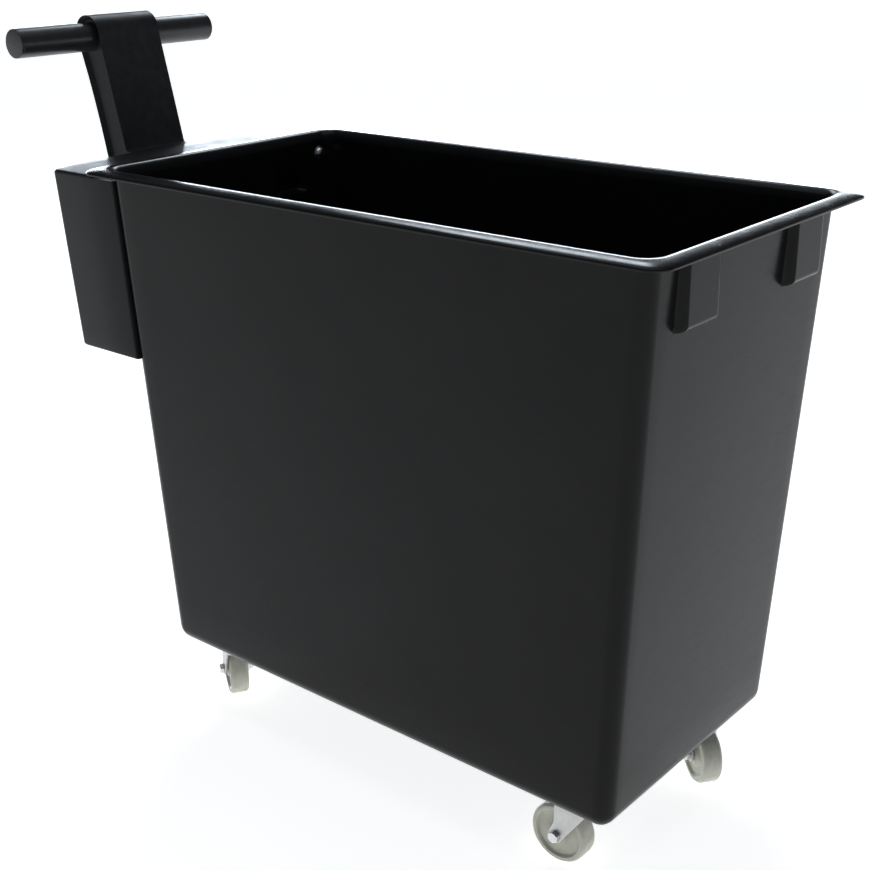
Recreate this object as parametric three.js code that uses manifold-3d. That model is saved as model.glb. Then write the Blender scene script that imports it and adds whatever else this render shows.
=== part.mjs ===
// Open-topped, tapered plastic tub on four swivel castors, pushed by a bolted-on moulded handle unit.
// Millimetres, +Z up, floor at z = 0. The handle is at the -X end, and left is +Y when facing +X.
import * as THREE from 'three';
import { mergeVertices } from 'three/addons/utils/BufferGeometryUtils.js';
import Module from 'manifold-3d';

const wasm = await Module();
wasm.setup();

// ---- Driving dimensions ----
const GAP = 0.3; // left between pieces that touch
const SLACK = 0.3; // radial clearance of a bolt in its hole
const OVERRUN = 1; // how far a cut runs past a face, or a joined solid into its neighbour

// Tub. A depth is measured down from the crest of the rim.
const CREST_LENGTH = 800;
const CREST_WIDTH = 406;
const TUB_HEIGHT = 654;
const BOTTOM_LENGTH = 713;
const BOTTOM_WIDTH = 361;
const CREST_OUT = 7; // crest of the rim, outside the wall
const WALL = 5;
const FLOOR = 6;
const CORNER_RADIUS = 20;
const CREST_CORNER_RADIUS = 27.7;
const RIM_CORNER_RADIUS = 24; // the flange is widest at the corners
const BOTTOM_FILLET = 22;
const SMALLEST_RADIUS = 4;
const RIM_OUT = 26; // outer edge of the rim's flange, outside the wall
const RIM_UNDERSIDE = [[0, 16], [2.5, 9], [8, 6], [23, 6.8]]; // [out, depth]
const RIM_TOP = [[25, 6.5], [RIM_OUT, 4.5], [24.5, 2.6], [17, 0.8], [CREST_OUT, 0]];
const RIM_INSIDE = [[1.5, 1.8], [-2, 6], [-4.2, 13], [-WALL, 24]];

// Locating pads pressed out of both end walls.
const PAD_INNER_Y = 80;
const PAD_OUTER_Y = 142;
const PAD_TOP = 3;
const PAD_BOTTOM = 84;
const PAD_PROUD = 13;
const PAD_EDGE = 9; // slope of the lower edge
const PAD_FACE_TOP = 9; // above this depth the pad steps back, clear of the rim's underside
const PAD_STEP = 1;
const PAD_RECESS_TOP = 22;

// Raised seats on the tub's floor, one under each castor bolt.
const SEAT_RADIUS = 11;
const SEAT_RISE = 0.6;

// Handle unit, depths as on the tub.
const UNIT_TOP = 13;
const UNIT_BOTTOM = 247;
const UNIT_SIDE_TOP = 196.5; // half width
const UNIT_SIDE_BOTTOM = 193;
const UNIT_BACK_TOP = 511; // distance behind the tub's middle, at the rear corners
const UNIT_BACK_BOTTOM = 489;
const UNIT_BOW = 22; // how far the back bulges at its middle
const UNIT_WRAP = 5; // how far the front edges reach round the tub's corners
const UNIT_CORNER = 9;
const UNIT_EDGE = 4;
const UNIT_WALL = 4;
const REBATE_BEHIND_RIM = 9;
const REBATE_DEPTH = 16;
const DRAIN_RADIUS = 6;

// Neck and grip bar.
const NECK_WIDTH = 104;
const NECK_FRONT_FOOT = 538.5; // distance behind the tub's middle where the front face leaves the housing
const NECK_LEAN = 0.2476; // rearward run per rise
const BAR_BACK = 602;
const BAR_RISE = 137; // above the crest
const BAR_RADIUS = 19;
const BAR_LENGTH = 328;
const BAR_SHIFT = -5.5; // the bar stands out a little further on the right
const BAR_WALL = 2.5;
const HEAD_RADIUS = 25;
const HEAD_RISE = 4; // centre of the rounded head above the bar's axis
const HEAD_AHEAD = 1; // and ahead of it
const HEAD_ARC_END = Math.PI * 1.2; // where the head's round meets the back of the neck
const NECK_WALL = 5;
const NECK_HOLLOW_TOP = 106;
const NECK_HOLLOW_BACK = 612;
// Side outline of the neck's back, downwards: [distance behind the tub's middle, rise above the crest].
const NECK_BEND = [598.5, 62];
const NECK_WAIST = [582, -18];
const NECK_LOW_BEND = [566, -80];
const NECK_ROOT = [518, -196];
const NECK_ROOT_FRONT = 500;
const PLUG_CAP = 3;
const PLUG_SPIGOT = 18;
const PLUG_EDGE = 1;

// Bolts that hold the handle unit to the tub.
const BOLT_RADIUS = 4;
const HANDLE_BOLTS = [[172, 31], [-172, 31], [150, 200], [-150, 200]]; // [y, depth]
const INSERT_RADIUS = 7;
const INSERT_LENGTH = 22;
const INSERT_BOSS = 12;
const INSERT_FREE_END = 2; // the bolt stops this far short of the insert's end
const WASHER_THICKNESS = 1; // room under the bolt's head
const HEAD_DOME_RADIUS = 9;
const HEAD_DOME_HEIGHT = 5;
const DOME_PROFILE = [[1, 0], [0.8, 0.6], [0.45, 0.9], [0, 1]]; // shares of the head's radius and height

// Castors. A positive trail is along the heading.
const CASTOR_HEIGHT = 98;
const CASTOR_X = 292;
const CASTOR_Y = 128;
const TRAIL = 26;
const PLATE_LENGTH = 80;
const PLATE_WIDTH = 60;
const PLATE_THICKNESS = 3;
const PLATE_CORNER = 8;
const PLATE_HOLES_X = 60;
const PLATE_HOLES_Y = 42;
const CUP_RADIUS = 20;
const CUP_DEPTH = 3;
const CUP_FLARE = 2;
const KING_PIN_RADIUS = 5;
const KING_HEAD_RADIUS = 8;
const KING_HEAD_HEIGHT = 3;
const KING_HEAD_EDGE = 2;
const RACE_RADIUS = 21;
const RACE_EDGE = 2; // how far the race's rims stand in from its middle
const CROWN_TOP = 83.5;
const CROWN_THICKNESS = 3;
const CROWN_RADIUS = 22;
const LEG_INSIDE = 15; // half the gap between the fork's legs
const LEG_THICKNESS = 2.5;
const LEG_BACK = 16; // back of a leg at the crown, behind the pivot
const LEG_AHEAD = 2; // front of a leg at the crown, ahead of the axle
const LEG_BULGE = [4, 18]; // lower front of a leg, ahead of the axle and above it
const FOOT_RADIUS = 9;
const FOOT_BACK_ANGLE = Math.PI * 1.2; // where the foot's round meets the leg's back and front
const FOOT_FRONT_ANGLE = Math.PI * 2.2;
const WHEEL_RADIUS = 37.5;
const WHEEL_WIDTH = 26;
const HUB_RADIUS = 12.5;
const HUB_SLOPE = 1.5;
const DISH_DEPTH = 4;
const DISH_RADIUS = 29.5;
const DISH_SLOPE = 2;
const SHOULDER = [2.5, 3]; // rounding of the tread's edge, across and along the axle
const BUSH_RADIUS = 6;
const NUT_FLATS = 13;
const NUT_HEIGHT = 7;
const AXLE_HEAD_HEIGHT = 5.3;
const BOLT_PAST_NUT = 1;
const AXLE_PAST_NUT = 2;
const CASTORS = [
  { name: 'front_right', x: 1, y: -1, heading: 180 },
  { name: 'front_left', x: 1, y: 1, heading: -37 },
  { name: 'rear_right', x: -1, y: -1, heading: 147 },
  { name: 'rear_left', x: -1, y: 1, heading: 160 },
];

// Smoothness of round shapes.
const CORNER_STEPS = 5;
const FINE = 24;
const ROUND = 16;
const COARSE = 10;
const FILLET_STEPS = 3;
const SMALL = 6;

const CREST_Z = CASTOR_HEIGHT + GAP + TUB_HEIGHT;
const TUB_BOTTOM_Z = CASTOR_HEIGHT + GAP;
const HEAD_Z = CREST_Z + BAR_RISE + HEAD_RISE;
const HEAD_X = -BAR_BACK + HEAD_AHEAD;

// ---- Materials ----
const blackTub = { color: 0x17181a, roughness: 0.38, metalness: 0 };
const blackHandle = { color: 0x1d1d1f, roughness: 0.5, metalness: 0 };
const zinc = { color: 0xb9bab8, roughness: 0.35, metalness: 1 };
const brass = { color: 0xb08d4a, roughness: 0.4, metalness: 1 };
const nylon = { color: 0xc9c9b6, roughness: 0.45, metalness: 0 };

const part = new THREE.Group();

function addMesh(parent, name, geometry, finish) {
  const mesh = new THREE.Mesh(geometry, new THREE.MeshStandardMaterial(finish));
  mesh.name = name;
  parent.add(mesh);
  return mesh;
}

// ---- Solids: closed geometry to a manifold and back ----
function toSolid(geometry) {
  const plain = geometry.clone();
  plain.deleteAttribute('normal');
  plain.deleteAttribute('uv');
  const merged = mergeVertices(plain, 1e-4);
  return new wasm.Manifold(new wasm.Mesh({
    numProp: 3,
    vertProperties: merged.attributes.position.array,
    triVerts: Uint32Array.from(merged.index.array),
  }));
}

function toGeometry(solid) {
  const mesh = solid.getMesh();
  const geometry = new THREE.BufferGeometry();
  geometry.setAttribute('position', new THREE.BufferAttribute(mesh.vertProperties, mesh.numProp));
  geometry.setIndex(new THREE.BufferAttribute(mesh.triVerts, 1));
  geometry.computeVertexNormals();
  return geometry;
}

// Skin over a stack of level rings with equal numbers of points, closed at the first and the last ring.
function loft(rings) {
  const count = rings[0].length;
  const positions = rings.flat().flatMap((p) => [p.x, p.y, p.z]);
  const index = [];
  for (let level = 0; level + 1 < rings.length; level++) {
    for (let i = 0; i < count; i++) {
      const low = level * count;
      const next = (i + 1) % count;
      index.push(low + i, low + next, low + count + next);
      index.push(low + i, low + count + next, low + count + i);
    }
  }
  const last = (rings.length - 1) * count;
  for (let i = 1; i + 1 < count; i++) {
    index.push(0, i + 1, i);
    index.push(last, last + i, last + i + 1);
  }
  const geometry = new THREE.BufferGeometry();
  geometry.setAttribute('position', new THREE.Float32BufferAttribute(positions, 3));
  geometry.setIndex(index);
  return geometry;
}

// Rounded rectangle at height z, anticlockwise seen from above.
function roundedRing(halfX, halfY, radius, z) {
  const ring = [];
  for (let corner = 0; corner < 4; corner++) {
    const signX = corner === 0 || corner === 3 ? 1 : -1;
    const signY = corner < 2 ? 1 : -1;
    for (let step = 0; step <= CORNER_STEPS; step++) {
      const angle = (corner + step / CORNER_STEPS) * (Math.PI / 2);
      ring.push(new THREE.Vector3(
        signX * (halfX - radius) + radius * Math.cos(angle),
        signY * (halfY - radius) + radius * Math.sin(angle),
        z,
      ));
    }
  }
  return ring;
}

// Turned solid about the Z axis, from [radius, z] points listed from the lowest up.
function turned(points, segments) {
  const profile = points.map(([radius, z]) => new THREE.Vector2(radius, z));
  return new THREE.LatheGeometry(profile, segments).rotateX(Math.PI / 2);
}

// Ring-shaped turned solid about the Z axis: the profile goes round once and closes on itself.
function turnedRing(points, segments) {
  return turned([...points, points[0]], segments);
}

function rodZ(radius, low, high, segments = COARSE) {
  return turned([[0, low], [radius, low], [radius, high], [0, high]], segments);
}

function rodY(radius, low, high, segments = COARSE) {
  return rodZ(radius, -high, -low, segments).rotateX(Math.PI / 2);
}

function rodX(radius, low, high, segments = COARSE) {
  return rodZ(radius, low, high, segments).rotateY(Math.PI / 2);
}

function block(low, high) {
  const size = high.map((value, axis) => value - low[axis]);
  const middle = high.map((value, axis) => (value + low[axis]) / 2);
  return new THREE.BoxGeometry(...size).translate(...middle);
}

// Flat plate whose outline lies in the XZ plane, from y = low to y = high.
function plateXZ(shape, low, high, curveSegments = ROUND) {
  const geometry = new THREE.ExtrudeGeometry(shape, {
    depth: high - low,
    bevelEnabled: false,
    curveSegments,
  });
  return geometry.rotateX(Math.PI / 2).translate(0, high, 0);
}

// ---- Tub ----
// Half length and half width of the outside of the wall at a depth below the crest.
function wallAt(depth) {
  const down = depth / TUB_HEIGHT;
  return {
    x: THREE.MathUtils.lerp(CREST_LENGTH / 2 - CREST_OUT, BOTTOM_LENGTH / 2, down),
    y: THREE.MathUtils.lerp(CREST_WIDTH / 2 - CREST_OUT, BOTTOM_WIDTH / 2, down),
  };
}

// Radius of the tub's vertical corners at a distance outside the wall.
function cornerRadius(out) {
  const { mapLinear } = THREE.MathUtils;
  if (out > CREST_OUT) return mapLinear(out, CREST_OUT, RIM_OUT, CREST_CORNER_RADIUS, RIM_CORNER_RADIUS);
  return Math.max(mapLinear(out, 0, CREST_OUT, CORNER_RADIUS, CREST_CORNER_RADIUS), SMALLEST_RADIUS);
}

function wallRing(out, depth) {
  const wall = wallAt(depth);
  const radius = cornerRadius(out);
  return roundedRing(wall.x + out, wall.y + out, radius, CREST_Z - depth);
}

// Rings round a bottom edge of the given fillet, from the flat up to the wall.
function filletRings(out, bottomDepth, fillet) {
  const rings = [];
  for (let step = 0; step <= FILLET_STEPS; step++) {
    const angle = (step / FILLET_STEPS) * (Math.PI / 2);
    rings.push(wallRing(out - fillet * (1 - Math.sin(angle)), bottomDepth - fillet * (1 - Math.cos(angle))));
  }
  return rings;
}

function padBlocks(growth) {
  const faceX = wallAt(PAD_BOTTOM).x + PAD_PROUD + growth;
  const rootX = faceX - PAD_PROUD - 2 * WALL;
  const section = new THREE.Shape();
  section.moveTo(rootX, CREST_Z - PAD_TOP);
  section.lineTo(rootX, CREST_Z - PAD_BOTTOM - growth);
  section.lineTo(faceX - PAD_EDGE, CREST_Z - PAD_BOTTOM - growth);
  section.lineTo(faceX, CREST_Z - PAD_BOTTOM - growth + PAD_EDGE);
  section.lineTo(faceX, CREST_Z - PAD_FACE_TOP);
  section.lineTo(faceX - PAD_STEP, CREST_Z - PAD_FACE_TOP + PAD_STEP);
  section.lineTo(faceX - PAD_STEP, CREST_Z - PAD_TOP);
  const pad = plateXZ(section, PAD_INNER_Y - growth, PAD_OUTER_Y + growth);
  const blocks = [];
  for (const turn of [0, Math.PI]) {
    blocks.push(toSolid(pad.clone().rotateZ(turn)));
    blocks.push(toSolid(pad.clone().translate(0, -PAD_INNER_Y - PAD_OUTER_Y, 0).rotateZ(turn)));
  }
  return blocks;
}

// The tub's outside as one block, grown all round, with its pads.
function tubEnvelope(growth) {
  let envelope = toSolid(loft([
    ...filletRings(growth, TUB_HEIGHT, BOTTOM_FILLET),
    wallRing(growth, 0),
  ]));
  for (const pad of padBlocks(growth)) envelope = envelope.add(pad);
  return envelope;
}

function tubGeometry() {
  let tub = toSolid(loft([
    ...filletRings(0, TUB_HEIGHT, BOTTOM_FILLET),
    ...RIM_UNDERSIDE.map(([out, depth]) => wallRing(out, depth)),
    ...RIM_TOP.map(([out, depth]) => wallRing(out, depth)),
    ...RIM_INSIDE.map(([out, depth]) => wallRing(out, depth)),
    ...filletRings(-WALL, TUB_HEIGHT - FLOOR, BOTTOM_FILLET - WALL).reverse(),
  ]));
  for (const pad of padBlocks(0)) tub = tub.add(pad);
  const cavity = toSolid(loft([
    ...filletRings(-WALL, TUB_HEIGHT - FLOOR, BOTTOM_FILLET - WALL),
    wallRing(-WALL, RIM_INSIDE.at(-1)[1]),
    ...[...RIM_INSIDE].reverse().slice(1).map(([out, depth]) => wallRing(out, depth)),
    wallRing(CREST_OUT, 0),
  ]));
  tub = tub.subtract(cavity);
  const recessTop = CREST_Z - PAD_RECESS_TOP;
  const below = toSolid(block([-CREST_LENGTH, -CREST_WIDTH, 0], [CREST_LENGTH, CREST_WIDTH, recessTop]));
  for (const hollow of padBlocks(-WALL)) tub = tub.subtract(hollow.intersect(below));
  for (const [y, depth] of HANDLE_BOLTS) {
    const hole = rodX(BOLT_RADIUS + SLACK, -CREST_LENGTH / 2 - RIM_OUT, -BOTTOM_LENGTH / 2 + 2 * WALL);
    tub = tub.subtract(toSolid(hole.translate(0, y, CREST_Z - depth)));
  }
  const floorTop = TUB_BOTTOM_Z + FLOOR;
  for (const castor of CASTORS) {
    for (const [holeX, holeY] of castorHoles()) {
      const x = castor.x * CASTOR_X + holeX;
      const y = castor.y * CASTOR_Y + holeY;
      const seat = rodZ(SEAT_RADIUS, floorTop - SEAT_RISE, floorTop + SEAT_RISE, ROUND);
      const hole = rodZ(BOLT_RADIUS + SLACK, TUB_BOTTOM_Z - OVERRUN, floorTop + OVERRUN);
      tub = tub.add(toSolid(seat.translate(x, y, 0))).subtract(toSolid(hole.translate(x, y, 0)));
    }
  }
  return toGeometry(tub);
}

// ---- Handle unit ----
function unitAt(depth) {
  const down = (depth - UNIT_TOP) / (UNIT_BOTTOM - UNIT_TOP);
  return {
    front: -wallAt(depth).x + UNIT_WRAP,
    side: THREE.MathUtils.lerp(UNIT_SIDE_TOP, UNIT_SIDE_BOTTOM, down),
    back: -THREE.MathUtils.lerp(UNIT_BACK_TOP, UNIT_BACK_BOTTOM, down),
  };
}

// Outline of the housing at a depth: straight front and sides, small rear corners and a bowed back.
function unitRing(inset, depth) {
  const unit = unitAt(depth);
  const side = unit.side - inset;
  const back = unit.back + inset;
  const radius = UNIT_CORNER - inset / 2;
  const leftHalf = [new THREE.Vector2(unit.front, side)];
  for (let step = 0; step <= FILLET_STEPS; step++) {
    const angle = (1 + step / FILLET_STEPS) * (Math.PI / 2);
    leftHalf.push(new THREE.Vector2(
      back + radius * (1 + Math.cos(angle)),
      side - radius * (1 - Math.sin(angle)),
    ));
  }
  const straight = side - radius;
  for (const share of [0.8, 0.6, 0.4, 0.2]) {
    leftHalf.push(new THREE.Vector2(back - UNIT_BOW * (1 - share * share), straight * share));
  }
  const rightHalf = leftHalf.map((p) => new THREE.Vector2(p.x, -p.y)).reverse();
  const middle = new THREE.Vector2(back - UNIT_BOW, 0);
  return [...leftHalf, middle, ...rightHalf].map((p) => new THREE.Vector3(p.x, p.y, CREST_Z - depth));
}

function unitBody(inset) {
  return toSolid(loft([
    unitRing(inset + UNIT_EDGE, UNIT_BOTTOM - inset),
    unitRing(inset, UNIT_BOTTOM - inset - UNIT_EDGE),
    unitRing(inset, UNIT_TOP + inset + UNIT_EDGE),
    unitRing(inset + UNIT_EDGE, UNIT_TOP + inset),
  ]));
}

function neckFront(z) {
  return -NECK_FRONT_FOOT - NECK_LEAN * (z - CREST_Z + UNIT_TOP);
}

// Side outline of the neck, from inside the housing up to a level top or round the head.
function neckShape(inset, top) {
  const back = ([behind, rise]) => [-behind + inset, CREST_Z + rise];
  const foot = CREST_Z - UNIT_TOP - inset;
  const [rootX, rootZ] = back(NECK_ROOT);
  const shape = new THREE.Shape();
  shape.moveTo(-NECK_ROOT_FRONT, rootZ + inset);
  shape.lineTo(-NECK_ROOT_FRONT, foot);
  shape.lineTo(neckFront(CREST_Z - UNIT_TOP) - inset, foot);
  if (top) {
    shape.lineTo(neckFront(top) - inset, top);
    shape.lineTo(-NECK_HOLLOW_BACK + inset, top);
  } else {
    shape.lineTo(neckFront(HEAD_Z), HEAD_Z);
    shape.absarc(HEAD_X, HEAD_Z, HEAD_RADIUS, 0, HEAD_ARC_END, false);
  }
  shape.quadraticCurveTo(...back(NECK_BEND), ...back(NECK_WAIST));
  shape.quadraticCurveTo(...back(NECK_LOW_BEND), rootX, rootZ + inset);
  return shape;
}

// Step along the front of the housing's top that leaves room for the rolled rim.
function rebateBlock(growth) {
  const back = -CREST_LENGTH / 2 + CREST_OUT - RIM_OUT - REBATE_BEHIND_RIM - growth;
  return toSolid(block([back, -CREST_WIDTH, CREST_Z - REBATE_DEPTH - growth], [0, CREST_WIDTH, CREST_Z]));
}

function housingGeometry() {
  const half = NECK_WIDTH / 2;
  const neck = toSolid(plateXZ(neckShape(0), -half, half, COARSE));
  let housing = unitBody(0).add(neck);

  const inserts = HANDLE_BOLTS.map(([y, depth]) => ({ y, z: CREST_Z - depth, wall: wallAt(depth).x }));
  let hollow = unitBody(UNIT_WALL).subtract(tubEnvelope(GAP + UNIT_WALL));
  for (const { y, z, wall } of inserts) {
    const boss = rodX(INSERT_BOSS, -wall - INSERT_LENGTH - UNIT_WALL, -wall);
    hollow = hollow.subtract(toSolid(boss.translate(0, y, z)));
  }
  const neckHollow = neckShape(NECK_WALL, CREST_Z + NECK_HOLLOW_TOP);
  hollow = hollow.add(toSolid(plateXZ(neckHollow, -half + NECK_WALL, half - NECK_WALL, COARSE)));
  hollow = hollow.subtract(rebateBlock(UNIT_WALL));

  housing = housing.subtract(hollow).subtract(tubEnvelope(GAP)).subtract(rebateBlock(0));
  for (const { y, z, wall } of inserts) {
    const pocket = rodX(INSERT_RADIUS + GAP, -wall - INSERT_LENGTH - 2 * GAP, 0);
    housing = housing.subtract(toSolid(pocket.translate(0, y, z)));
  }
  const barHole = rodY(BAR_RADIUS + GAP, -NECK_WIDTH, NECK_WIDTH, FINE);
  housing = housing.subtract(toSolid(barHole.translate(-BAR_BACK, 0, CREST_Z + BAR_RISE)));
  const bottom = CREST_Z - UNIT_BOTTOM;
  const drain = rodZ(DRAIN_RADIUS, bottom - OVERRUN, bottom + 2 * UNIT_WALL);
  housing = housing.subtract(toSolid(drain.translate(-(UNIT_BACK_TOP + CREST_LENGTH / 2) / 2, 0, 0)));
  return toGeometry(housing);
}

function addGripBar() {
  const bar = new THREE.Group();
  bar.position.set(-BAR_BACK, BAR_SHIFT, CREST_Z + BAR_RISE);
  part.add(bar);
  const tubeEnd = BAR_LENGTH / 2 - PLUG_CAP - GAP;
  const bore = BAR_RADIUS - BAR_WALL;
  const tube = turnedRing([[bore, -tubeEnd], [BAR_RADIUS, -tubeEnd], [BAR_RADIUS, tubeEnd], [bore, tubeEnd]], FINE);
  addMesh(bar, 'grip_bar', tube.rotateX(Math.PI / 2), blackHandle);
  for (const [side, turn] of [['left', -Math.PI / 2], ['right', Math.PI / 2]]) {
    const plug = turned([
      [0, tubeEnd - PLUG_SPIGOT],
      [bore - GAP, tubeEnd - PLUG_SPIGOT],
      [bore - GAP, tubeEnd + GAP],
      [BAR_RADIUS, tubeEnd + GAP],
      [BAR_RADIUS - PLUG_EDGE, BAR_LENGTH / 2],
      [0, BAR_LENGTH / 2],
    ], FINE);
    addMesh(bar, `grip_plug_${side}`, plug.rotateX(turn), blackHandle);
  }
}

// Domed bolt along +Z: the underside of its head at z = 0 and its shank below.
function domedBolt(shankLength) {
  return turned([
    [0, -shankLength],
    [BOLT_RADIUS, -shankLength],
    [BOLT_RADIUS, 0],
    ...DOME_PROFILE.map(([across, up]) => [HEAD_DOME_RADIUS * across, HEAD_DOME_HEIGHT * up]),
  ], COARSE);
}

function addHandleFixings() {
  HANDLE_BOLTS.forEach(([y, depth], place) => {
    const wall = wallAt(depth).x;
    const seat = -wallAt(depth - HEAD_DOME_RADIUS).x + WALL + 2 * GAP;
    const z = CREST_Z - depth;
    const shank = wall + seat + INSERT_LENGTH - INSERT_FREE_END;
    const bolt = domedBolt(shank).rotateY(Math.PI / 2).translate(seat + WASHER_THICKNESS, y, z);
    addMesh(part, `handle_bolt_${place + 1}`, bolt, zinc);
    const insert = turnedRing([
      [BOLT_RADIUS + SLACK, 0],
      [INSERT_RADIUS, 0],
      [INSERT_RADIUS, INSERT_LENGTH],
      [BOLT_RADIUS + SLACK, INSERT_LENGTH],
    ], COARSE);
    insert.rotateY(-Math.PI / 2).translate(-wall - 2 * GAP, y, z);
    addMesh(part, `handle_insert_${place + 1}`, insert, brass);
  });
}

// ---- Castors ----
function castorHoles() {
  const holes = [];
  for (const x of [-PLATE_HOLES_X / 2, PLATE_HOLES_X / 2]) {
    for (const y of [-PLATE_HOLES_Y / 2, PLATE_HOLES_Y / 2]) holes.push([x, y]);
  }
  return holes;
}

// Mounting plate with its pressed cup and the riveted king pin.
function plateGeometry() {
  const low = CASTOR_HEIGHT - PLATE_THICKNESS;
  const kingHeadTop = CROWN_TOP - CROWN_THICKNESS - 2 * GAP;
  const base = toSolid(loft([low, CASTOR_HEIGHT].map((z) => (
    roundedRing(PLATE_LENGTH / 2, PLATE_WIDTH / 2, PLATE_CORNER, z)
  ))));
  const king = toSolid(turned([
    [0, kingHeadTop - KING_HEAD_HEIGHT],
    [KING_HEAD_RADIUS - KING_HEAD_EDGE, kingHeadTop - KING_HEAD_HEIGHT],
    [KING_HEAD_RADIUS, kingHeadTop],
    [KING_PIN_RADIUS, kingHeadTop],
    [KING_PIN_RADIUS, low - CUP_DEPTH],
    [CUP_RADIUS, low - CUP_DEPTH],
    [CUP_RADIUS + CUP_FLARE, low + OVERRUN],
    [0, low + OVERRUN],
  ], ROUND));
  let plate = base.add(king);
  for (const [x, y] of castorHoles()) {
    const hole = rodZ(BOLT_RADIUS + SLACK, low - OVERRUN, CASTOR_HEIGHT + OVERRUN);
    plate = plate.subtract(toSolid(hole.translate(x, y, 0)));
  }
  return toGeometry(plate);
}

function raceGeometry() {
  const low = CROWN_TOP + GAP;
  const high = CASTOR_HEIGHT - PLATE_THICKNESS - CUP_DEPTH - GAP;
  return turnedRing([
    [KING_PIN_RADIUS + GAP, low],
    [RACE_RADIUS - RACE_EDGE, low],
    [RACE_RADIUS, (low + high) / 2],
    [RACE_RADIUS - RACE_EDGE, high],
    [KING_PIN_RADIUS + GAP, high],
  ], ROUND);
}

// Pressed fork: a round crown and two legs that taper back and down to the axle.
function forkGeometry() {
  const crownLow = CROWN_TOP - CROWN_THICKNESS;
  const legFront = TRAIL + LEG_AHEAD;
  const leg = new THREE.Shape();
  leg.moveTo(-LEG_BACK, CROWN_TOP);
  leg.absarc(TRAIL, WHEEL_RADIUS, FOOT_RADIUS, FOOT_BACK_ANGLE, FOOT_FRONT_ANGLE, false);
  leg.lineTo(TRAIL + LEG_BULGE[0], WHEEL_RADIUS + LEG_BULGE[1]);
  leg.lineTo(legFront, CROWN_TOP);
  const outside = LEG_INSIDE + LEG_THICKNESS;
  let fork = toSolid(rodZ(CROWN_RADIUS, crownLow, CROWN_TOP, ROUND));
  fork = fork.add(toSolid(block([-LEG_BACK, -outside, crownLow], [legFront, outside, CROWN_TOP])));
  fork = fork.add(toSolid(plateXZ(leg, LEG_INSIDE, outside, SMALL)));
  fork = fork.add(toSolid(plateXZ(leg, -outside, -LEG_INSIDE, SMALL)));
  const past = outside + OVERRUN;
  const axleHole = rodY(BOLT_RADIUS + SLACK, -past, past).translate(TRAIL, 0, WHEEL_RADIUS);
  const pinHole = rodZ(KING_PIN_RADIUS + 2 * GAP, crownLow - OVERRUN, CROWN_TOP + OVERRUN, ROUND);
  return toGeometry(fork.subtract(toSolid(axleHole)).subtract(toSolid(pinHole)));
}

// One-piece wheel with a raised hub, dished sides and a tread with rounded shoulders.
function wheelGeometry() {
  const half = WHEEL_WIDTH / 2;
  const bore = BUSH_RADIUS + GAP;
  const rightSide = [
    [bore, half],
    [HUB_RADIUS, half],
    [HUB_RADIUS + HUB_SLOPE, half - DISH_DEPTH],
    [DISH_RADIUS, half - DISH_DEPTH],
    [DISH_RADIUS + DISH_SLOPE, half],
    [WHEEL_RADIUS - SHOULDER[0], half],
    [WHEEL_RADIUS, half - SHOULDER[1]],
  ];
  const leftSide = rightSide.map(([radius, along]) => [radius, -along]);
  return turnedRing([...leftSide, ...rightSide.reverse()], FINE).rotateX(-Math.PI / 2);
}

function hexagon(flats, bore) {
  const shape = new THREE.Shape();
  for (let corner = 0; corner < 6; corner++) {
    const angle = (corner + 0.5) * (Math.PI / 3);
    const reach = flats / Math.sqrt(3);
    if (corner === 0) shape.moveTo(reach * Math.cos(angle), reach * Math.sin(angle));
    else shape.lineTo(reach * Math.cos(angle), reach * Math.sin(angle));
  }
  if (bore) shape.holes.push(new THREE.Path().absarc(0, 0, bore, 0, Math.PI * 2));
  return shape;
}

function addSwivel(castorGroup, name, heading) {
  const swivel = new THREE.Group();
  swivel.rotation.z = THREE.MathUtils.degToRad(heading);
  castorGroup.add(swivel);
  addMesh(swivel, `castor_${name}_fork`, forkGeometry(), zinc);

  const axle = new THREE.Group();
  axle.position.set(TRAIL, 0, WHEEL_RADIUS);
  swivel.add(axle);
  addMesh(axle, `castor_${name}_wheel`, wheelGeometry(), nylon);

  const bushHalf = LEG_INSIDE - GAP;
  const bush = turnedRing([
    [BOLT_RADIUS + SLACK, -bushHalf],
    [BUSH_RADIUS, -bushHalf],
    [BUSH_RADIUS, bushHalf],
    [BOLT_RADIUS + SLACK, bushHalf],
  ], ROUND).rotateX(Math.PI / 2);
  addMesh(axle, `castor_${name}_bush`, bush, zinc);

  const seat = LEG_INSIDE + LEG_THICKNESS + GAP;
  const head = toSolid(plateXZ(hexagon(NUT_FLATS), seat, seat + AXLE_HEAD_HEIGHT));
  const shank = toSolid(rodY(BOLT_RADIUS, -seat - NUT_HEIGHT - AXLE_PAST_NUT, seat + OVERRUN));
  addMesh(axle, `castor_${name}_axle_bolt`, toGeometry(head.add(shank)), zinc);
  const nut = plateXZ(hexagon(NUT_FLATS, BOLT_RADIUS + SLACK), -seat - NUT_HEIGHT, -seat, SMALL);
  addMesh(axle, `castor_${name}_axle_nut`, nut, zinc);
}

function addCastor({ name, x, y, heading }) {
  const castorGroup = new THREE.Group();
  castorGroup.position.set(x * CASTOR_X, y * CASTOR_Y, 0);
  part.add(castorGroup);
  addMesh(castorGroup, `castor_${name}_plate`, plateGeometry(), zinc);
  addMesh(castorGroup, `castor_${name}_race`, raceGeometry(), zinc);
  const headSeat = TUB_BOTTOM_Z + FLOOR + SEAT_RISE + GAP;
  const shankLength = headSeat - CASTOR_HEIGHT + PLATE_THICKNESS + NUT_HEIGHT + BOLT_PAST_NUT;
  castorHoles().forEach(([holeX, holeY], place) => {
    const bolt = domedBolt(shankLength).translate(holeX, holeY, headSeat);
    addMesh(castorGroup, `castor_${name}_bolt_${place + 1}`, bolt, zinc);
  });
  addSwivel(castorGroup, name, heading);
}

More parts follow.
